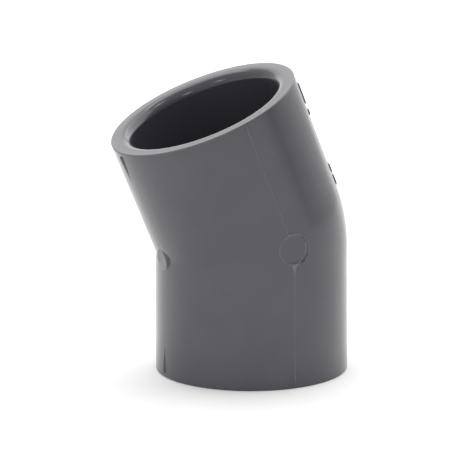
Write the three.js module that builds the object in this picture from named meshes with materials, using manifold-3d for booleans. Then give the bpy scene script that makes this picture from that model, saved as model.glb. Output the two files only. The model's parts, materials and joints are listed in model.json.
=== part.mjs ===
// Solvent-cement socket elbow, 22.5 degrees, in rigid PVC for DN 40 (1 1/2 inch) pipe with a heavy wall.
// Units are millimetres, +Z is up. The fitting stands on its lower mouth and leans towards -X.
// It is one moulding in three sections that end at the pipe stops: lower_socket, bend_body, upper_socket.
import * as THREE from "three";
import { mergeVertices } from "three/addons/utils/BufferGeometryUtils.js";
import Module from "manifold-3d";

// Driving dimensions.
const BEND_ANGLE = THREE.MathUtils.degToRad(22.5);
const SOCKET_DEPTH = 34.9; // from the mouth face to the pipe stop
const STOP_TO_CENTRE = 9.5; // from the pipe stop to the point where both socket axes cross
const MOUTH_BORE_R = 24.28; // the socket tapers from here ...
const STOP_BORE_R = 24.05; // ... to here, so the pipe wedges before it reaches the stop
const LEAD_IN_R = 3.2; // rounding between the mouth face and the bore
const WATERWAY_R = 20.5; // bore of the bend, less than the sockets' by the width of the pipe stop
const MOUTH_OUTER_R = 30.7; // the outside flares a little towards each mouth, as mould draft
const BEND_OUTER_R = 30.55;
const BEND_LINE_R = 31.5; // radius of the bend's centre line, more than its own, which rounds its outer side
const RIM_CHAMFER = 0.25; // broken outer edge of each mouth
const SECTION_GAP = 0.3; // between two sections, centred on the pipe stop

// Moulding marks that stand on the outside.
const WEDGE = { count: 4, fromMouth: 1.3, length: 9.5, tipR: 0.05, headR: 0.55 };
const SIDE_PAD = { r: 4.6, shift: -0.45, below: 0.1 };
const PAD_GROOVE = { r: 5, shift: 0.35, depth: 0.5 };
const INNER_PAD = { r: 3.5, above: 0.7 }; // mark of an ejector pin, in the inner corner of the bend
const BAR_WIDTH = 1.2;
const BAR_HEIGHT = 0.45;
const BAR_TURN = THREE.MathUtils.degToRad(-22.1); // place of the bars, round from the bend's outer side
const SOCKET_BARS = [[9.7, 12.1], [29.7, 31.6], [33.7, 40.8]]; // from and to, above the bend's centre
const BEND_BARS = [[4.7, 8.2]];

// Fineness of the round faces.
const ROUND_SIDES = 72;
const LEAD_IN_STEPS = 4;
const BEND_STEPS = 12;
const PAD_SIDES = 32;
const WEDGE_SIDES = 12;

const REACH = SOCKET_DEPTH + STOP_TO_CENTRE; // from the bend's centre to each mouth face
const HALF_BEND = STOP_TO_CENTRE - SECTION_GAP / 2;
const CUT_PAST = 2; // how far a cutting body runs past what it cuts
const MARK_ROOT = 2; // how deep a mark's own body runs into the wall

const wasm = await Module();
wasm.setup();

function toSolid(geometry) {
  const bare = new THREE.BufferGeometry();
  bare.setAttribute("position", geometry.getAttribute("position"));
  bare.setIndex(geometry.index);
  const merged = mergeVertices(bare, 1e-4);
  return new wasm.Manifold(
    new wasm.Mesh({
      numProp: 3,
      vertProperties: merged.getAttribute("position").array,
      triVerts: new Uint32Array(merged.index.array),
    }),
  );
}

function toGeometry(solid) {
  const { vertProperties, triVerts } = solid.getMesh();
  const geometry = new THREE.BufferGeometry();
  geometry.setAttribute("position", new THREE.BufferAttribute(vertProperties, 3));
  geometry.setIndex(new THREE.BufferAttribute(triVerts, 1));
  geometry.computeVertexNormals();
  return geometry;
}

// A round bar along +Z, from the origin's plane or from the height given.
function rod(radius, length, from = 0, sides = ROUND_SIDES, endRadius = radius) {
  return new THREE.CylinderGeometry(endRadius, radius, length, sides)
    .rotateX(Math.PI / 2)
    .translate(0, 0, from + length / 2);
}

// The centre line of the bend: straight, an arc through the bend angle, and straight again.
class BendLine extends THREE.Curve {
  constructor(reach) {
    super();
    this.tangent = BEND_LINE_R * Math.tan(BEND_ANGLE / 2);
    this.straight = reach - this.tangent;
    this.arc = BEND_LINE_R * BEND_ANGLE;
  }

  getPoint(u, target = new THREE.Vector3()) {
    const along = u * (2 * this.straight + this.arc);
    if (along < this.straight) return target.set(0, 0, along - this.straight - this.tangent);
    const turn = Math.min((along - this.straight) / BEND_LINE_R, BEND_ANGLE);
    const past = Math.max(along - this.straight - this.arc, 0);
    return target.set(
      -BEND_LINE_R * (1 - Math.cos(turn)) - past * Math.sin(turn),
      0,
      BEND_LINE_R * Math.sin(turn) - this.tangent + past * Math.cos(turn),
    );
  }
}

// A bent round bar: its outer side follows the arc, and its inner side is a mitre of two straight bars.
function bentBar(radius, reach) {
  const disc = new THREE.Shape().absarc(0, 0, radius, 0, 2 * Math.PI);
  const swept = new THREE.ExtrudeGeometry(disc, {
    extrudePath: new BendLine(reach),
    steps: BEND_STEPS,
    curveSegments: ROUND_SIDES / 2,
    bevelEnabled: false,
  });
  const straight = rod(radius, 4 * REACH, -2 * REACH);
  const leaning = straight.clone().rotateY(-BEND_ANGLE);
  return toSolid(swept).intersect(toSolid(straight).add(toSolid(leaning)));
}

// A socket along +Z with its pipe stop end at the bend, before any mark is added.
function socketTube() {
  const from = STOP_TO_CENTRE + SECTION_GAP / 2;
  const profile = new THREE.Path();
  profile.moveTo(BEND_OUTER_R, from);
  profile.lineTo(MOUTH_OUTER_R, REACH - RIM_CHAMFER);
  profile.lineTo(MOUTH_OUTER_R - RIM_CHAMFER, REACH);
  profile.lineTo(MOUTH_BORE_R + LEAD_IN_R, REACH);
  profile.absarc(MOUTH_BORE_R + LEAD_IN_R, REACH - LEAD_IN_R, LEAD_IN_R, Math.PI / 2, Math.PI);
  profile.lineTo(STOP_BORE_R, from);
  profile.closePath();
  const points = profile.getPoints(LEAD_IN_STEPS);
  return toSolid(new THREE.LatheGeometry(points, ROUND_SIDES).rotateX(Math.PI / 2));
}

// A raised wedge mark with a round head near the mouth and its point towards the bend.
function wedgeMark() {
  const headAt = REACH - WEDGE.fromMouth - WEDGE.headR;
  const body = WEDGE.length - WEDGE.headR;
  const cone = rod(WEDGE.tipR, body, headAt - body, WEDGE_SIDES, WEDGE.headR)
    .translate(MOUTH_OUTER_R, 0, 0);
  const head = new THREE.SphereGeometry(WEDGE.headR, WEDGE_SIDES, WEDGE_SIDES / 2)
    .rotateX(Math.PI / 2)
    .translate(MOUTH_OUTER_R, 0, headAt);
  return toSolid(cone).add(toSolid(head));
}

// A raised bar that stands in for moulded marking. It lies along the tube, between two heights.
function bar([from, to]) {
  const box = new THREE.BoxGeometry(MARK_ROOT + BAR_HEIGHT, BAR_WIDTH, to - from)
    .translate(BEND_OUTER_R + (BAR_HEIGHT - MARK_ROOT) / 2, 0, (from + to) / 2)
    .rotateZ(BAR_TURN);
  return toSolid(box);
}

function socketSolid(bars) {
  let solid = socketTube();
  const wedge = wedgeMark();
  for (let i = 0; i < WEDGE.count; i += 1) {
    solid = solid.add(wedge.rotate([0, 0, (360 * i) / WEDGE.count]));
  }
  for (const span of bars) solid = solid.add(bar(span));
  return solid;
}

// A flat round pad with a crescent groove on its heel side. side is 1 or -1, along Y.
function addSidePad(solid, side) {
  const turn = -side * Math.PI / 2;
  const face = BEND_OUTER_R - SIDE_PAD.below;
  const floor = BEND_OUTER_R - PAD_GROOVE.depth;
  const pad = toSolid(
    rod(SIDE_PAD.r, MARK_ROOT, face - MARK_ROOT, PAD_SIDES)
      .translate(SIDE_PAD.shift, 0, 0)
      .rotateX(turn),
  );
  const groove = toSolid(
    rod(PAD_GROOVE.r, CUT_PAST, floor, PAD_SIDES)
      .translate(PAD_GROOVE.shift, 0, 0)
      .rotateX(turn),
  );
  return solid.subtract(groove).add(pad);
}

function bendSolid() {
  let solid = bentBar(BEND_OUTER_R, HALF_BEND);
  for (const side of [-1, 1]) solid = addSidePad(solid, side);
  const cornerR = BEND_OUTER_R / Math.cos(BEND_ANGLE / 2);
  const padLength = MARK_ROOT + INNER_PAD.above;
  const innerPad = rod(INNER_PAD.r, padLength, cornerR - MARK_ROOT, PAD_SIDES)
    .rotateY(-(Math.PI + BEND_ANGLE) / 2);
  solid = solid.add(toSolid(innerPad));
  for (const span of BEND_BARS) {
    solid = solid.add(bar(span).rotate([0, -THREE.MathUtils.radToDeg(BEND_ANGLE), 0]));
  }
  return solid.subtract(bentBar(WATERWAY_R, HALF_BEND + CUT_PAST));
}

function section(name, solid) {
  const plastic = new THREE.MeshStandardMaterial({ color: 0x56555a, roughness: 0.4, metalness: 0 });
  const mesh = new THREE.Mesh(toGeometry(solid), plastic);
  mesh.name = name;
  return mesh;
}

const lowerSocket = section("lower_socket", socketSolid([]));
lowerSocket.rotation.x = Math.PI;

const bendBody = section("bend_body", bendSolid());

const upperSocket = section("upper_socket", socketSolid(SOCKET_BARS));
upperSocket.rotation.y = -BEND_ANGLE;

// The origin is the middle of the bounding box's lowest face, which is the lower mouth's plane.
const fitting = new THREE.Group();
fitting.add(lowerSocket, bendBody, upperSocket);
const box = new THREE.Box3().setFromObject(fitting, true);
const middle = box.getCenter(new THREE.Vector3());
fitting.position.set(-middle.x, -middle.y, -box.min.z);

const elbow = new THREE.Group();
elbow.add(fitting);
export default elbow;
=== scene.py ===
import json
import math

import bpy
import numpy as np
from mathutils import Matrix, Vector


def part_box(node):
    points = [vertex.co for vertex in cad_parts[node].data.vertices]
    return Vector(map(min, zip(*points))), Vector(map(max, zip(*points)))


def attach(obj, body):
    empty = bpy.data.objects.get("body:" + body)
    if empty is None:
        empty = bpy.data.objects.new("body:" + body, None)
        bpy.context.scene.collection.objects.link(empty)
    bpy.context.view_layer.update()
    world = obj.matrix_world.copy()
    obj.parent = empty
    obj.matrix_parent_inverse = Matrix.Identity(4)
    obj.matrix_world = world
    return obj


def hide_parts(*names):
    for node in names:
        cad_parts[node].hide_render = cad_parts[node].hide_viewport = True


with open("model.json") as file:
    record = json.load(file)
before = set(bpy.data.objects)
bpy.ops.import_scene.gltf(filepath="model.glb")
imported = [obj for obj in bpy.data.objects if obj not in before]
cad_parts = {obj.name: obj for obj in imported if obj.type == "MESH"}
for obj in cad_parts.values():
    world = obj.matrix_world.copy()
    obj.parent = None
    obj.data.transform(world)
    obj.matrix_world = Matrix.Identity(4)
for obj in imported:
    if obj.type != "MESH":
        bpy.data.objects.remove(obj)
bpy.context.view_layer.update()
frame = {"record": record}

# Sizes of the moulding, in metres. They are the CAD model's unless a comment says otherwise.
MM = 0.001
STOP_TO_CENTRE = 9.5 * MM  # from the pipe stop to the crossing of the socket axes
MOUTH_OUTER_R = 30.7 * MM
BEND_OUTER_R = 30.55 * MM
MOUTH_BORE_R = 24.28 * MM
STOP_BORE_R = 24.05 * MM
LEAD_IN_R = 3.2 * MM
WATERWAY_R = 20.5 * MM
RIM_R = 0.3 * MM  # rounding of each mouth's outer edge, a chamfer in the CAD
# The mouths' rounded edges are painted paler, as highlight.
RIM_HIGHLIGHT = 0.12  # how pale that rounding is, from 0 to 1
STOP_EDGE_R = 0.5 * MM  # rounding of the pipe stop's inner edge, sharp in the CAD
STOP_FOOT = 0.15 * MM  # chamfer between a bore and its pipe stop, none in the CAD

# The rounding of the bend, as the distance from the mitre to where the arc starts. The CAD's heel has a
# larger arc, up to 0.15 mm further in, and its inner corner is sharp.
HEEL_TANGENT = 11.0 * MM
CORNER_TANGENT = 0.8 * MM
TANGENT_POWER = 2.0  # how fast the heel's large arc sharpens towards the inner corner
WATERWAY_TANGENT = 1.2 * MM  # the CAD's arc is larger, up to 0.9 mm further in on the heel's side

# Marks that the mould leaves on the outside. The parting line and the flash are too fine for the CAD.
SEAM_HALF_WIDTH = 0.16 * MM
SEAM_HEIGHT = 0.07 * MM
# The parting line's paleness is painted highlight, strongest where it swells below and above the side pads.
SEAM_HIGHLIGHT = 0.2
LOWER_SWELL = 5.5 * MM  # below a side pad the parting line swells over this length ...
UPPER_SWELL = 1.2 * MM  # ... and above it over this one
SWELL_HALF_WIDTH = 0.9 * MM
SWELL_HEIGHT = 0.16 * MM
WEDGE_FROM_MOUTH = 1.3 * MM
WEDGE_LENGTH = 9.5 * MM
WEDGE_HEAD_R = 0.55 * MM
WEDGE_ANGLES = [math.radians(a) for a in (-180, -90, 0, 90, 180)]  # the first and last are one wedge
SIDE_PAD_R = 4.6 * MM
SIDE_PAD_SHIFT = -0.45 * MM
SIDE_PAD_BELOW = 0.1 * MM
GROOVE_R = 5.0 * MM
GROOVE_SHIFT = 0.35 * MM
GROOVE_DEPTH = 0.5 * MM
GROOVE_FROM = 2.4 * MM  # the groove fades in round this distance from the bend's middle plane
GROOVE_RAMP = 0.8 * MM
PAD_ZONE = 8 * MM  # the pads, their grooves and their flash lie nearer to the pads' axis than this
FLASH_HALF_WIDTH = 0.15 * MM
FLASH_HEIGHT = 0.12 * MM
# The flash round the side pads and their grooves is painted pale, as highlight.
FLASH_HIGHLIGHT = 0.42
INNER_PAD_R = 3.5 * MM
INNER_PAD_ABOVE = 0.7 * MM
BAR_HALF_WIDTH = 0.6 * MM
BAR_HEIGHT = 0.4 * MM  # a little lower than the CAD's
BAR_TURN = math.radians(-22.1)
# From and to, above the bend's centre. The second bar starts 0.7 mm lower than the CAD's, which leaves a
# gap there between two sections.
BARS = [(4.7 * MM, 8.2 * MM), (9.0 * MM, 12.1 * MM), (29.7 * MM, 31.6 * MM), (33.7 * MM, 40.8 * MM)]
WALL_SOFTNESS = 0.12 * MM  # half the width over which a mark's side wall rises ...
BAR_SIDE_SOFTNESS = 0.15 * MM  # ... and the same for a bar's sides ...
BAR_END_SOFTNESS = 0.35 * MM  # ... and for its ends

# How finely the skin is divided: rows lie along the sockets, and columns round them.
COARSE_ROW = 2.5 * MM
WEDGE_ROW = 0.7 * MM
FINE_ROW = 0.14 * MM
COARSE_COLUMN = math.radians(4)
PAD_COLUMN = 0.24 * MM
FINE_COLUMN = 0.12 * MM
SLANT_FROM = 14 * MM  # nearer the bend than this the rings lean towards the mitre
SLANT_ROWS = 22
SLANT_GRADING = 0.8  # below 1, the slanting rows lie closer together near the bend
BEND_ROWS = 37

# Where the fitting stands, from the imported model.
mounts = {m["name"]: m for m in frame["record"]["mounts"]}
upper_axis = Vector(mounts["upper_socket_face"]["axis"])
BEND_ANGLE = math.atan2(-upper_axis.x, upper_axis.z)
lower_lo, lower_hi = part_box("lower_socket")
AXIS_X = (lower_lo.x + lower_hi.x) / 2
upper_point = Vector(mounts["upper_socket_face"]["pos_m"])
REACH = ((upper_point.x - AXIS_X) * upper_axis.x + upper_point.z * upper_axis.z) / (1 + upper_axis.z)
CENTRE = np.array([AXIS_X, 0.0, REACH])
MITRE_SLOPE = math.tan(BEND_ANGLE / 2)


def graded(low, high, coarse, zones):
    """Positions from low to high, coarse apart, and finer in each zone (centre, half width, step)."""
    growth = 0.3  # of the step, for each unit of distance from a zone
    places = [low]
    while places[-1] < high:
        here = places[-1]
        steps = [step + growth * max(0.0, abs(here - mid) - half) for mid, half, step in zones]
        places.append(here + min([coarse, *steps]))
    stretch = (high - low) / (places[-1] - low)
    return low + (np.array(places) - low) * stretch


def turn_angles():
    """Angles round the tube, finer across the parting lines, the wedges, the pads and the bars."""
    zones = [(angle, 0.6 * MM, FINE_COLUMN) for angle in WEDGE_ANGLES]
    zones += [(side * math.pi / 2, SIDE_PAD_R + 0.9 * MM, PAD_COLUMN) for side in (-1, 1)]
    zones += [(side * math.pi, INNER_PAD_R + 0.3 * MM, PAD_COLUMN) for side in (-1, 1)]
    zones.append((BAR_TURN, BAR_HALF_WIDTH + BAR_SIDE_SOFTNESS, FINE_COLUMN))
    zones = [(mid, half / BEND_OUTER_R, step / BEND_OUTER_R) for mid, half, step in zones]
    return graded(-math.pi, math.pi, COARSE_COLUMN, zones)[:-1]


PHI = turn_angles()
EVEN_PHI = np.linspace(-math.pi, math.pi, len(PHI), endpoint=False)  # for the inside, without marks


def arm_ring(arm, radius, along, angles=PHI):
    """A ring round the lower (arm -1) or upper (arm 1) socket's axis, along from the bend's centre."""
    turn = BEND_ANGLE if arm > 0 else 0.0
    across = radius * np.cos(angles)
    x = across * math.cos(turn) - arm * along * math.sin(turn)
    z = across * math.sin(turn) + arm * along * math.cos(turn)
    return np.stack([x, radius * np.sin(angles), z], axis=1)


def bend_rings(radius, tangent, shares, angles=PHI):
    """Rings through the bend's rounding, from the lower tangent point to the upper one."""
    start = arm_ring(-1, radius, tangent - radius * np.cos(angles) * MITRE_SLOPE, angles)
    arc_r = tangent / MITRE_SLOPE
    rings = []
    for share in shares:
        turn = share * BEND_ANGLE
        ring = start.copy()
        ring[:, 0] -= arc_r * (1 - math.cos(turn))
        ring[:, 2] += arc_r * math.sin(turn)
        rings.append(ring)
    return rings


def outer_radius(along):
    """The outside flares from the pipe stop to the mouth."""
    share = np.clip((along - STOP_TO_CENTRE) / (REACH - STOP_TO_CENTRE), 0, 1)
    return BEND_OUTER_R + (MOUTH_OUTER_R - BEND_OUTER_R) * share


def bore_radius(along):
    share = (along - STOP_TO_CENTRE) / (REACH - STOP_TO_CENTRE)
    return STOP_BORE_R + (MOUTH_BORE_R - STOP_BORE_R) * share


def outer_tangent():
    share = ((1 + np.cos(PHI)) / 2) ** TANGENT_POWER
    return CORNER_TANGENT + (HEEL_TANGENT - CORNER_TANGENT) * share


def arc_points(centre_r, centre_along, radius, start, end, count):
    """Points (radius, along) on a quarter round, both ends included."""
    angles = np.linspace(math.radians(start), math.radians(end), count)
    return [(centre_r + radius * math.cos(a), centre_along + radius * math.sin(a)) for a in angles]


def arm_rows(arm, places):
    """A row for each place along one socket, as in outer_rows."""
    return [(arm, arm_ring(arm, outer_radius(a), a), np.broadcast_to(a, PHI.shape)) for a in places]


def outer_rows():
    """The outside, from the lower mouth's rounded edge to the upper one's.

    A row is a number from -1, on the lower socket, through the bend to 1, on the upper one; a ring; and
    each point's distance along its socket's axis from the bend's centre.
    """
    head = REACH - WEDGE_FROM_MOUTH - WEDGE_HEAD_R
    wedge_mid = REACH - WEDGE_FROM_MOUTH - WEDGE_LENGTH / 2
    zones = [(head, 0.7 * MM, FINE_ROW), (wedge_mid, WEDGE_LENGTH / 2, WEDGE_ROW)]
    bar_zones = [(end, BAR_END_SOFTNESS, FINE_ROW) for bar in BARS for end in bar]
    top = REACH - RIM_R
    lower_along = graded(SLANT_FROM, top, COARSE_ROW, zones)
    upper_along = graded(SLANT_FROM, top, COARSE_ROW, zones + bar_zones)
    tangent = outer_tangent()
    arc_start = tangent - BEND_OUTER_R * np.cos(PHI) * MITRE_SLOPE
    shares = np.linspace(0, 1, SLANT_ROWS + 1)[1:-1] ** SLANT_GRADING
    slanted = [SLANT_FROM + (arc_start - SLANT_FROM) * share for share in shares]
    bend_shares = np.linspace(0, 1, BEND_ROWS)
    bend = zip(bend_shares, bend_rings(BEND_OUTER_R, tangent, bend_shares))
    rows = arm_rows(-1, [*lower_along[::-1], *slanted])
    rows += [(2 * share - 1, ring, arc_start) for share, ring in bend]
    rows += arm_rows(1, [*slanted[::-1], *upper_along])
    return rows


def smooth_step(x):
    """0 below -1, 1 above 1, smooth between."""
    t = np.clip((x + 1) / 2, 0, 1)
    return t * t * (3 - 2 * t)


def inside(distance, edge, softness=WALL_SOFTNESS):
    """1 where distance is below edge, 0 beyond it."""
    return smooth_step((edge - distance) / softness)


def ridge(distance, half_width):
    """A round ridge: 1 along its crest, 0 from half_width on."""
    return np.clip(1 - (distance / half_width) ** 2, 0, None) ** 0.5


def wedge_height(offset, along):
    """Height of a wedge mark: a round head near the mouth, tapering to a point towards the bend."""
    head = REACH - WEDGE_FROM_MOUTH - WEDGE_HEAD_R
    body = WEDGE_LENGTH - WEDGE_HEAD_R
    taper = np.clip(1 - (head - along) / body, 0.001, 1) * WEDGE_HEAD_R
    lengthwise = np.where(along > head, np.hypot(offset, along - head), np.abs(offset))
    height = taper * ridge(lengthwise, taper)
    return np.where(along < head - body, 0, height)


def bar_height(offset, along):
    """Height of the plain raised bars that stand in for moulded marking."""
    lengthwise = 0 * offset
    for low, high in BARS:
        from_middle = np.abs(along - (low + high) / 2)
        lengthwise = np.maximum(lengthwise, inside(from_middle, (high - low) / 2, BAR_END_SOFTNESS))
    return BAR_HEIGHT * lengthwise * inside(np.abs(offset), BAR_HALF_WIDTH, BAR_SIDE_SOFTNESS)


def seam_swell(arm, from_pad):
    """How far the parting line has grown, from 1 where it leaves a side pad's ring to 0 further off."""
    length = LOWER_SWELL if arm < 0 else UPPER_SWELL
    return (1 - np.clip((from_pad - SIDE_PAD_R) / length, 0, 1)) ** 2


def seam_height(offset, from_pad, swell):
    half = SEAM_HALF_WIDTH + SWELL_HALF_WIDTH * swell
    height = SEAM_HEIGHT + SWELL_HEIGHT * swell
    return height * ridge(offset, half) * (from_pad > SIDE_PAD_R)


def seam_paleness(offset, from_pad, swell):
    """The parting line is painted paler as a highlight: most of all at the side pads' rings."""
    half = SEAM_HALF_WIDTH + SWELL_HALF_WIDTH * swell
    paleness = SEAM_HIGHLIGHT + (1 - SEAM_HIGHLIGHT) * swell
    return paleness * ridge(offset, half) * (from_pad > SIDE_PAD_R)


def add_marks(arm, ring, along):
    """The ring with the mould's marks raised on it, and how much painted highlight each of its points gets,
    from 0 to 1.
    """
    turn = BEND_ANGLE * (arm + 1) / 2
    normal = np.stack(
        [np.cos(PHI) * math.cos(turn), np.sin(PHI), np.cos(PHI) * math.sin(turn)], axis=1
    )
    height = np.zeros_like(PHI)
    for angle in WEDGE_ANGLES:
        height = np.maximum(height, wedge_height((PHI - angle) * MOUTH_OUTER_R, along))
    out = ring.copy()
    pale = np.zeros_like(PHI)
    from_pad = np.hypot(ring[:, 0], ring[:, 2])
    for side in (-1, 1):
        offset = (PHI - side * math.pi / 2) * BEND_OUTER_R
        swell = seam_swell(arm, from_pad)
        height = np.maximum(height, seam_height(offset, from_pad, swell))
        pale = np.maximum(pale, seam_paleness(offset, from_pad, swell))
    if arm == 1:
        height = np.maximum(height, bar_height((PHI - BAR_TURN) * BEND_OUTER_R, along))
    out += normal * height[:, None]
    for side in (-1, 1):
        pale = np.maximum(pale, add_side_pad(out, ring, side))
    add_inner_pad(out)
    return out, pale


def add_side_pad(out, ring, side):
    """A flat round pad with a crescent groove on its heel side. Returns how pale the flash round both is
    painted, as highlight.
    """
    near = (np.sign(ring[:, 1]) == side) & (np.abs(ring[:, 0]) < PAD_ZONE)
    from_pad = np.hypot(ring[:, 0] - SIDE_PAD_SHIFT, ring[:, 2])
    from_groove = np.hypot(ring[:, 0] - GROOVE_SHIFT, ring[:, 2])
    height = side * out[:, 1]
    fade_in = smooth_step((ring[:, 0] - GROOVE_FROM) / GROOVE_RAMP)
    in_groove = inside(from_groove, GROOVE_R) * fade_in * near
    height = height + (BEND_OUTER_R - GROOVE_DEPTH - height) * in_groove
    in_pad = inside(from_pad, SIDE_PAD_R) * near
    height = height + (BEND_OUTER_R - SIDE_PAD_BELOW - height) * in_pad
    pale = np.zeros_like(height)
    outside_pad = from_pad > SIDE_PAD_R - FLASH_HALF_WIDTH
    for distance, radius in ((from_pad, SIDE_PAD_R), (from_groove, GROOVE_R)):
        fin = ridge(distance - radius, FLASH_HALF_WIDTH) * near * outside_pad
        crest = side * ring[:, 1] + FLASH_HEIGHT * fin
        height = np.where(fin > 0, np.maximum(height, crest), height)
        pale = np.maximum(pale, FLASH_HIGHLIGHT * fin)
    out[:, 1] = np.where(near, side * height, out[:, 1])
    return pale


def add_inner_pad(out):
    """A flat round ejector mark that faces out of the bend's inner corner."""
    half = BEND_ANGLE / 2
    outward = np.array([-math.cos(half), 0, -math.sin(half)])
    upward = np.array([-math.sin(half), 0, math.cos(half)])
    proud = out @ outward
    level = BEND_OUTER_R / math.cos(half) + INNER_PAD_ABOVE
    share = inside(np.hypot(out[:, 1], out @ upward), INNER_PAD_R) * (proud > 0)
    lift = np.clip(level - proud, 0, None) * share
    out += outward * lift[:, None]


def inner_profile():
    """Points (radius, along) down one socket, from the flat mouth ring to the waterway."""
    points = [(MOUTH_BORE_R + LEAD_IN_R + 0.5 * MM, REACH)]  # on the flat mouth ring
    points += arc_points(MOUTH_BORE_R + LEAD_IN_R, REACH - LEAD_IN_R, LEAD_IN_R, 90, 180, 11)
    points += [(bore_radius(a), a) for a in np.linspace(REACH - LEAD_IN_R, STOP_TO_CENTRE, 9)[1:-1]]
    points.append((STOP_BORE_R, STOP_TO_CENTRE + STOP_FOOT))
    points.append((STOP_BORE_R - STOP_FOOT, STOP_TO_CENTRE))
    points.append(((STOP_BORE_R + WATERWAY_R) / 2, STOP_TO_CENTRE))
    edge = (WATERWAY_R + STOP_EDGE_R, STOP_TO_CENTRE - STOP_EDGE_R)
    points += arc_points(*edge, STOP_EDGE_R, 90, 180, 4)
    return points


def rim_rings(arm):
    """The rounded outer edge of a mouth, without the ring that it shares with the outside."""
    points = arc_points(MOUTH_OUTER_R - RIM_R, REACH - RIM_R, RIM_R, 0, 90, 4)[1:]
    points.append((MOUTH_OUTER_R - 2.5 * RIM_R, REACH))  # on the flat mouth ring
    return [arm_ring(arm, r, a) for r, a in points]


def waterway_rings():
    steps = np.linspace(0, 1, 9)
    return bend_rings(WATERWAY_R, WATERWAY_TANGENT, steps, EVEN_PHI)[::-1]


def moulding_skin():
    """The whole skin as rings: up the outside, down the inside, and back to the first ring.

    Two numbers go with each point: how polished the mould was there, which also sets the inside's darker
    colour as painted shade, and how pale the plastic is painted as highlight.
    """
    marked = [add_marks(arm, ring, along) for arm, ring, along in outer_rows()]
    outside = [ring for ring, pale in marked]
    inside_up = [arm_ring(1, r, a, EVEN_PHI) for r, a in inner_profile()]
    inside_down = [arm_ring(-1, r, a, EVEN_PHI) for r, a in inner_profile()[::-1]]
    polished = inside_up + waterway_rings() + inside_down
    upper_rim = rim_rings(1)
    lower_rim = rim_rings(-1)[::-1]
    rings = outside + upper_rim + polished + lower_rim
    inside_from = len(outside) + len(upper_rim)
    inside_to = inside_from + len(polished)
    polish = np.zeros((len(rings), len(PHI)))
    # 1 on the inside: more polished, and darker as painted shade.
    polish[inside_from:inside_to] = 1
    paleness = np.zeros_like(polish)
    paleness[:len(outside)] = [pale for ring, pale in marked]
    # The mouths' rounded edges get painted highlight.
    paleness[len(outside) - 1:inside_from] = RIM_HIGHLIGHT
    paleness[inside_to:] = RIM_HIGHLIGHT
    paleness[0] = RIM_HIGHLIGHT
    return rings, polish, paleness


def ring_mesh(name, rings, **values):
    """A closed skin through rings of equal length, whose last meets the first, with values per point."""
    count = len(rings)
    size = len(rings[0])
    points = np.concatenate(rings) + CENTRE
    row = np.arange(count)[:, None] * size
    next_row = (np.arange(count)[:, None] + 1) % count * size
    column = np.arange(size)[None, :]
    next_column = (column + 1) % size
    corners = [row + column, row + next_column, next_row + next_column, next_row + column]
    quads = np.stack(corners, axis=2)
    mesh = bpy.data.meshes.new(name)
    mesh.from_pydata(points.tolist(), [], quads.reshape(-1, 4).tolist())
    mesh.shade_smooth()
    for key, value in values.items():
        layer = mesh.attributes.new(key, "FLOAT", "POINT")
        layer.data.foreach_set("value", value.ravel())
    return mesh


class Nodes:
    """A short way to write a node tree."""

    def __init__(self, tree):
        self.tree = tree

    def add(self, kind, **values):
        node = self.tree.nodes.new(kind)
        for key, value in values.items():
            setattr(node, key, value)
        return node

    def link(self, source, target):
        self.tree.links.new(source, target)


def grey(level):
    return (level, level, level)


def object_coordinates(nodes, scale):
    """Object coordinates, stretched by scale along X, Y and Z."""
    place = nodes.add("ShaderNodeTexCoord")
    mapping = nodes.add("ShaderNodeMapping")
    mapping.inputs["Scale"].default_value = scale
    nodes.link(place.outputs["Object"], mapping.inputs["Vector"])
    return mapping.outputs["Vector"]


def noise(nodes, coordinates, scale, detail=2.0):
    made = nodes.add("ShaderNodeTexNoise")
    made.inputs["Scale"].default_value = scale
    made.inputs["Detail"].default_value = detail
    nodes.link(coordinates, made.inputs["Vector"])
    return made.outputs["Fac"]


def ramp(nodes, value, stops):
    """A colour ramp through two stops (position, colour)."""
    made = nodes.add("ShaderNodeValToRGB")
    for element, (position, colour) in zip(made.color_ramp.elements, stops):
        element.position = position
        element.color = (*colour, 1.0)
    nodes.link(value, made.inputs["Fac"])
    return made.outputs["Color"]


def attribute(nodes, name):
    made = nodes.add("ShaderNodeAttribute", attribute_name=name)
    return made.outputs["Fac"]


def blend(nodes, share, first, second):
    """The colour first where share is 0 and second where it is 1. Each is a socket or a colour."""
    made = nodes.add("ShaderNodeMix", data_type="RGBA")
    nodes.link(share, made.inputs["Factor"])
    for key, value in (("A", first), ("B", second)):
        socket = next(i for i in made.inputs if i.name == key and i.type == "RGBA")
        if isinstance(value, tuple):
            socket.default_value = (*value, 1.0)
        else:
            nodes.link(value, socket)
    return next(o for o in made.outputs if o.type == "RGBA")


def multiply(nodes, first, second):
    made = nodes.add("ShaderNodeMath", operation="MULTIPLY")
    nodes.link(first, made.inputs[0])
    nodes.link(second, made.inputs[1])
    return made.outputs["Value"]


def specks(nodes, coordinates):
    """Above 0 on a few tiny pale specks, scattered a few millimetres apart."""
    cells = nodes.add("ShaderNodeTexVoronoi")
    cells.inputs["Scale"].default_value = 300.0
    nodes.link(coordinates, cells.inputs["Vector"])
    return ramp(nodes, cells.outputs["Distance"], [(0.03, grey(0.4)), (0.055, grey(0.0))])


def scratches(nodes):
    """Nearly 0, with faint hairlines along the sockets, where pipes and boxes have rubbed."""
    lines = noise(nodes, object_coordinates(nodes, (1.0, 1.0, 0.03)), 1500.0)
    patches = noise(nodes, object_coordinates(nodes, (1.0, 1.0, 1.0)), 90.0)
    thin = ramp(nodes, lines, [(0.66, grey(0.0)), (0.76, grey(0.3))])
    where = ramp(nodes, patches, [(0.45, grey(0.0)), (0.65, grey(1.0))])
    return multiply(nodes, thin, where)


# The plastic's colours and roughness, each as the two ends between which it clouds.
OUTSIDE_COLOURS = ((0.0546, 0.0525, 0.0634), (0.0680, 0.0660, 0.0775))
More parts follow.
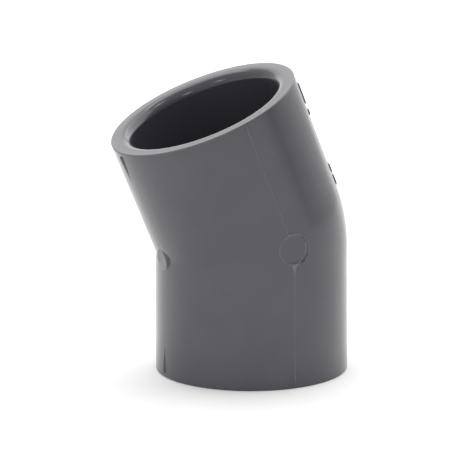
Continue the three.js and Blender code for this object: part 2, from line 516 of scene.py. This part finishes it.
# The inside's colours are darker than the outside's as painted shade in the bore.
INSIDE_SHADED_COLOURS = ((0.0385, 0.0375, 0.0485), (0.0455, 0.0445, 0.0555))
OUTSIDE_ROUGHNESS = (grey(0.16), grey(0.24))
INSIDE_ROUGHNESS = (grey(0.13), grey(0.17))
SCRATCH_ROUGHNESS = grey(0.42)
SPECK_COLOUR = (0.13, 0.13, 0.14)
# Edges and ridges are blended towards this colour as painted highlight.
PAINTED_HIGHLIGHT_COLOUR = (0.17, 0.17, 0.18)


def clouded(nodes, cloud, ends):
    return ramp(nodes, cloud, [(0.2, ends[0]), (0.8, ends[1])])


def pvc_material():
    """Dark grey rigid PVC: satin outside, and more polished inside, with the inside's colour darker as
    painted shade.

    It is faintly clouded, with fine grain, a few pale specks, faint hairlines, and edges and ridges painted
    paler as highlight.
    """
    material = bpy.data.materials.new("pvc_grey")
    material.use_nodes = True
    nodes = Nodes(material.node_tree)
    shader = material.node_tree.nodes["Principled BSDF"]
    shader.inputs["IOR"].default_value = 1.5
    coordinates = object_coordinates(nodes, (1.0, 1.0, 1.0))
    polish = attribute(nodes, "polish")

    cloud = noise(nodes, coordinates, 55.0, detail=3.0)
    outside = clouded(nodes, cloud, OUTSIDE_COLOURS)
    # The inside's darker colour is painted shade.
    inside_shaded_colour = clouded(nodes, cloud, INSIDE_SHADED_COLOURS)
    colour = blend(nodes, polish, outside, inside_shaded_colour)
    colour = blend(nodes, specks(nodes, coordinates), colour, SPECK_COLOUR)
    # Patchy strength of the painted highlight on edges and ridges.
    patchiness = ramp(nodes, noise(nodes, coordinates, 900.0), [(0.3, grey(0.55)), (0.7, grey(1.0))])
    pale = multiply(nodes, attribute(nodes, "paleness"), patchiness)
    nodes.link(blend(nodes, pale, colour, PAINTED_HIGHLIGHT_COLOUR), shader.inputs["Base Color"])

    wear = noise(nodes, coordinates, 140.0)
    satin = clouded(nodes, wear, OUTSIDE_ROUGHNESS)
    gloss = clouded(nodes, wear, INSIDE_ROUGHNESS)
    smooth = blend(nodes, polish, satin, gloss)
    rough = blend(nodes, scratches(nodes), smooth, SCRATCH_ROUGHNESS)
    nodes.link(rough, shader.inputs["Roughness"])

    bump = nodes.add("ShaderNodeBump")
    bump.inputs["Strength"].default_value = 0.06
    bump.inputs["Distance"].default_value = 0.1 * MM
    nodes.link(noise(nodes, coordinates, 2600.0), bump.inputs["Height"])
    nodes.link(bump.outputs["Normal"], shader.inputs["Normal"])
    return material


def make_moulding():
    rings, polish, paleness = moulding_skin()
    mesh = ring_mesh("elbow_moulding", rings, polish=polish, paleness=paleness)
    moulding = bpy.data.objects.new("elbow_moulding", mesh)
    bpy.context.scene.collection.objects.link(moulding)
    moulding.data.materials.append(pvc_material())
    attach(moulding, "root")
    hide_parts("lower_socket", "bend_body", "upper_socket")


# The studio.
CAMERA_AZIMUTH = math.radians(-25.59)
CAMERA_ELEVATION = math.radians(12.31)
CAMERA_ROLL = math.radians(-0.27)
CAMERA_DISTANCE = 0.9604
CAMERA_LENS = 237.2
AIM_LEFT = 0.00706  # the view's middle lies this far to the left of the bend's centre ...
AIM_UP = 0.00061  # ... and this far above it
FLOOR_SIDE = 6.0
FLOOR_BELOW = 0.05 * MM  # the floor lies this far below the mouth that the fitting stands on
CARD_MIDDLE = Vector((1.32, -0.90, 0.0))  # the middle of the dark card's lower edge
CARD_ALONG = Vector((0.563, 0.826, 0.0))
CARD_HALF_WIDTH = 0.22
CARD_HEIGHT = 0.3
WORLD_STRENGTH = 0.97
DIM_AZIMUTH = math.radians(25)  # the studio is dimmest here, from straight in front towards the right ...
DIM_LEVEL = 0.45  # ... where it has this share of the light elsewhere
DIM_FROM = 0.45  # cosines of the angles from that direction at which the dimming starts ...
DIM_TO = 0.85  # ... and is complete
SOFTBOXES = [  # name, place, side and radiance
    ("high_back", (-0.3, 0.75, 1.38), 0.95, 2.3),
    ("high_right", (1.05, 0.4, 1.14), 2.0, 1.5),
    ("backdrop", (0.32, 1.94, 0.99), 1.6, 0.75),
    ("lamp", (0.16, -0.23, 1.47), 0.28, 4.0),
    ("lamp", (-0.44, -1.22, 0.76), 0.28, 4.0),
    ("lamp", (-1.29, -0.44, 0.63), 0.28, 4.0),
]


def make_camera():
    back = Vector((
        math.sin(CAMERA_AZIMUTH) * math.cos(CAMERA_ELEVATION),
        -math.cos(CAMERA_AZIMUTH) * math.cos(CAMERA_ELEVATION),
        math.sin(CAMERA_ELEVATION),
    ))
    level = Vector((math.cos(CAMERA_AZIMUTH), math.sin(CAMERA_AZIMUTH), 0))
    rise = back.cross(level)
    right = level * math.cos(CAMERA_ROLL) + rise * math.sin(CAMERA_ROLL)
    up = rise * math.cos(CAMERA_ROLL) - level * math.sin(CAMERA_ROLL)
    camera = bpy.data.objects.new("camera", bpy.data.cameras.new("camera"))
    bpy.context.scene.collection.objects.link(camera)
    camera.data.lens = CAMERA_LENS
    camera.data.sensor_width = 36.0
    place = Vector(CENTRE) + back * CAMERA_DISTANCE - right * AIM_LEFT + up * AIM_UP
    turn = Matrix((right, up, back)).transposed().to_4x4()
    camera.matrix_world = Matrix.Translation(place) @ turn
    bpy.context.scene.camera = camera


def make_plane(name, corners, material_name, albedo, roughness, specular):
    """A flat grey object through four corners."""
    mesh = bpy.data.meshes.new(name)
    mesh.from_pydata(corners, [], [(0, 1, 2, 3)])
    plane = bpy.data.objects.new(name, mesh)
    bpy.context.scene.collection.objects.link(plane)
    material = bpy.data.materials.new(material_name)
    material.use_nodes = True
    shader = material.node_tree.nodes["Principled BSDF"]
    shader.inputs["Base Color"].default_value = (*grey(albedo), 1)
    shader.inputs["Roughness"].default_value = roughness
    shader.inputs["Specular IOR Level"].default_value = specular
    mesh.materials.append(material)
    return plane


def make_floor():
    half = FLOOR_SIDE / 2
    low = -FLOOR_BELOW
    corners = [(-half, -half, low), (half, -half, low), (half, half, low), (-half, half, low)]
    floor = make_plane("floor", corners, "floor_white", albedo=0.9, roughness=0.8, specular=0.1)


def make_dark_card():
    """A dark grey card far to the right. It shows as a dark band on the upper socket."""
    side = CARD_ALONG * CARD_HALF_WIDTH
    top = Vector((0, 0, CARD_HEIGHT))
    low_corners = [CARD_MIDDLE - side, CARD_MIDDLE + side]
    corners = low_corners + [CARD_MIDDLE + side + top, CARD_MIDDLE - side + top]
    card = make_plane("dark_card", corners, "card_black", albedo=0.12, roughness=0.9, specular=0.0)


def make_world():
    """White all round, and dimmer on the photographer's side."""
    world = bpy.data.worlds.new("white_studio")
    world.use_nodes = True
    nodes = Nodes(world.node_tree)
    direction = nodes.add("ShaderNodeTexCoord").outputs["Generated"]
    turned = nodes.add("ShaderNodeMapping")
    turned.inputs["Rotation"].default_value = (0, 0, math.pi / 2 - DIM_AZIMUTH)
    nodes.link(direction, turned.inputs["Vector"])
    towards_dim = nodes.add("ShaderNodeTexGradient")
    nodes.link(turned.outputs["Vector"], towards_dim.inputs["Vector"])
    stops = [(DIM_FROM, grey(1.0)), (DIM_TO, grey(DIM_LEVEL))]
    level = ramp(nodes, towards_dim.outputs["Fac"], stops)
    background = world.node_tree.nodes["Background"]
    nodes.link(level, background.inputs["Color"])
    background.inputs["Strength"].default_value = WORLD_STRENGTH
    bpy.context.scene.world = world


def make_softbox(name, place, side, radiance):
    """A square area light at place, facing the object. Its radiance adds to the world's behind it."""
    light = bpy.data.lights.new(name, "AREA")
    light.size = side
    light.energy = radiance * math.pi * side * side
    box = bpy.data.objects.new(name, light)
    bpy.context.scene.collection.objects.link(box)
    box.location = place
    box.rotation_euler = (-Vector(place)).to_track_quat("-Z", "Y").to_euler()


make_camera()
make_moulding()
make_floor()
make_dark_card()
make_world()
for softbox in SOFTBOXES:
    make_softbox(*softbox)
bpy.context.scene.view_settings.view_transform = "Standard"
